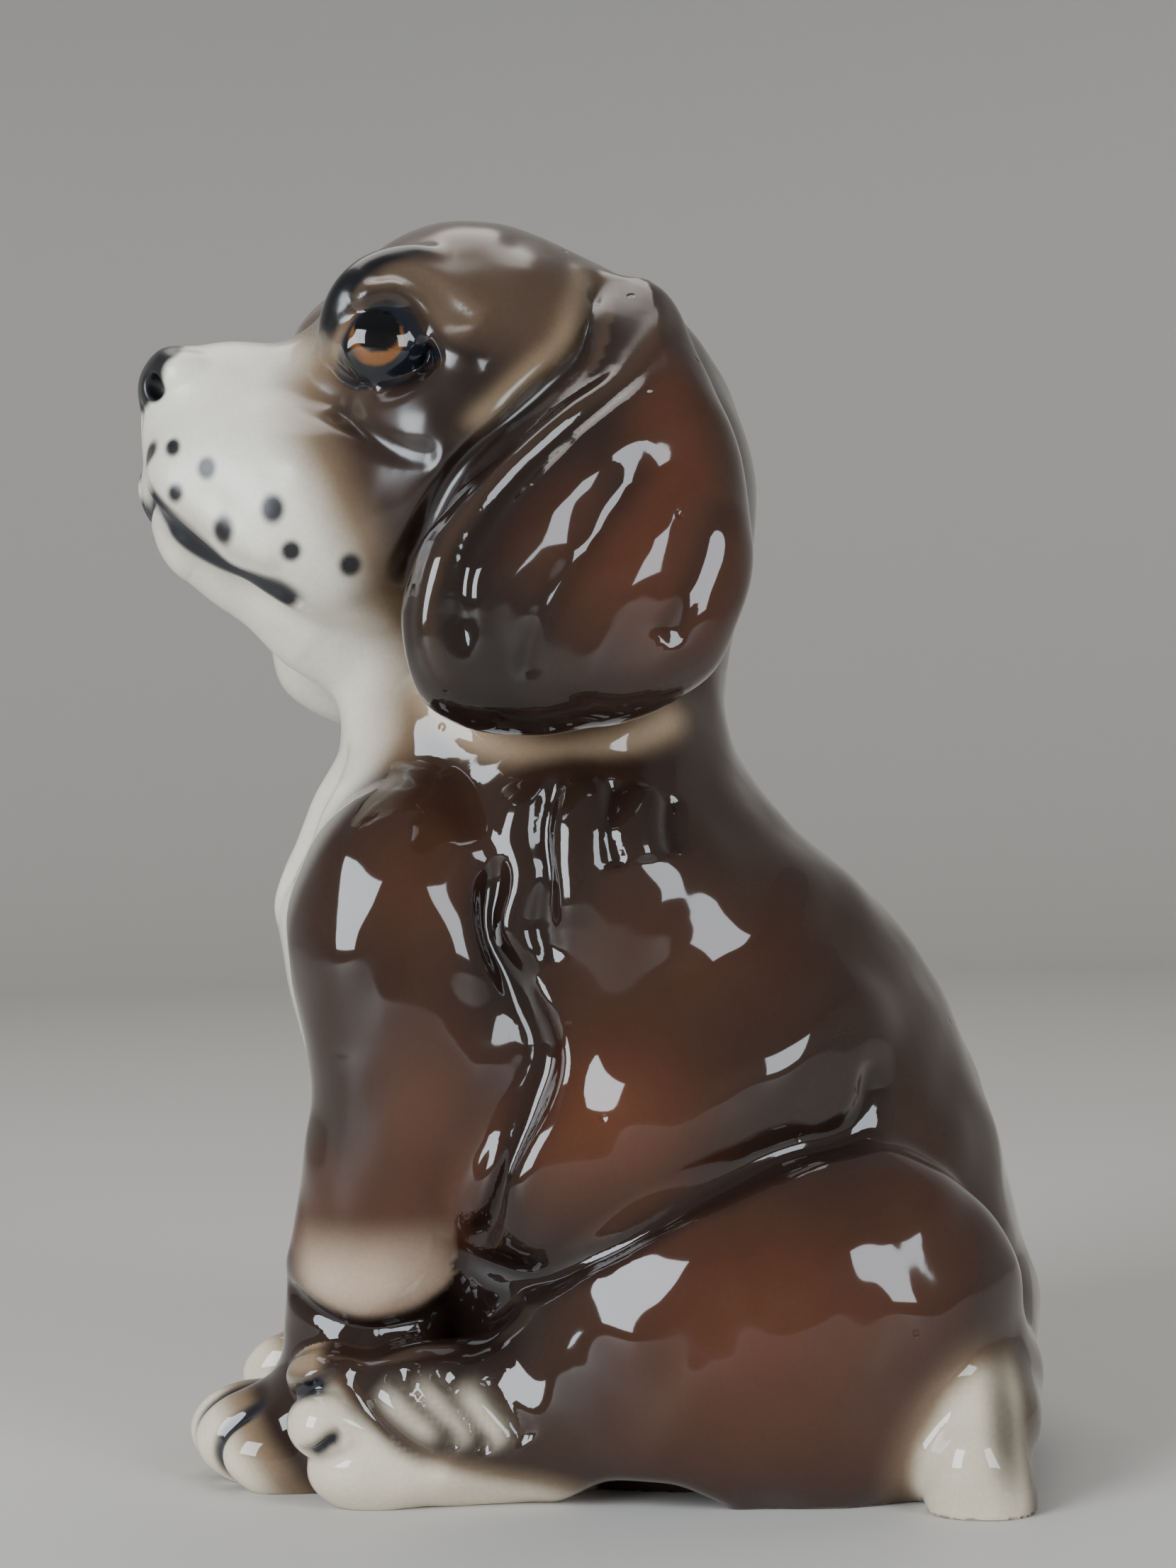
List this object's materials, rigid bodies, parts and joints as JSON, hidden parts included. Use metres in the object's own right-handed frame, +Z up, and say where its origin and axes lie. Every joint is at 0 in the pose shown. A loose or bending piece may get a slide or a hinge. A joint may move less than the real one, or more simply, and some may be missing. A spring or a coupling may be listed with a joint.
{
  "type": "ceramic dog figurine",
  "caption": "Hollow slip-cast figurine of a sitting puppy with long drooping ears and a raised muzzle, glazed in browns and cream.",
  "frame": {"origin": "centre of the bottom of the figurine's box, on the table", "axes": "+Z up, the puppy faces -Y, its left side is +X"},
  "size_m": [0.1234, 0.1504, 0.2101],
  "materials": {
    "brown_glaze": "clear glossy glaze over airbrushed brown and chestnut underglaze",
    "dark_glaze": "clear glossy glaze over dark umber underglaze",
    "cream_glaze": "clear glaze over a cream body"
  },
  "bodies": {
    "root": {"body_shell": "brown_glaze", "head_shell": "brown_glaze", "ear_left": "dark_glaze", "ear_right": "dark_glaze", "foreleg_left": "brown_glaze", "foreleg_right": "brown_glaze", "hind_leg_left": "brown_glaze", "hind_leg_right": "brown_glaze", "tail": "cream_glaze"}
  },
  "joints": []
}
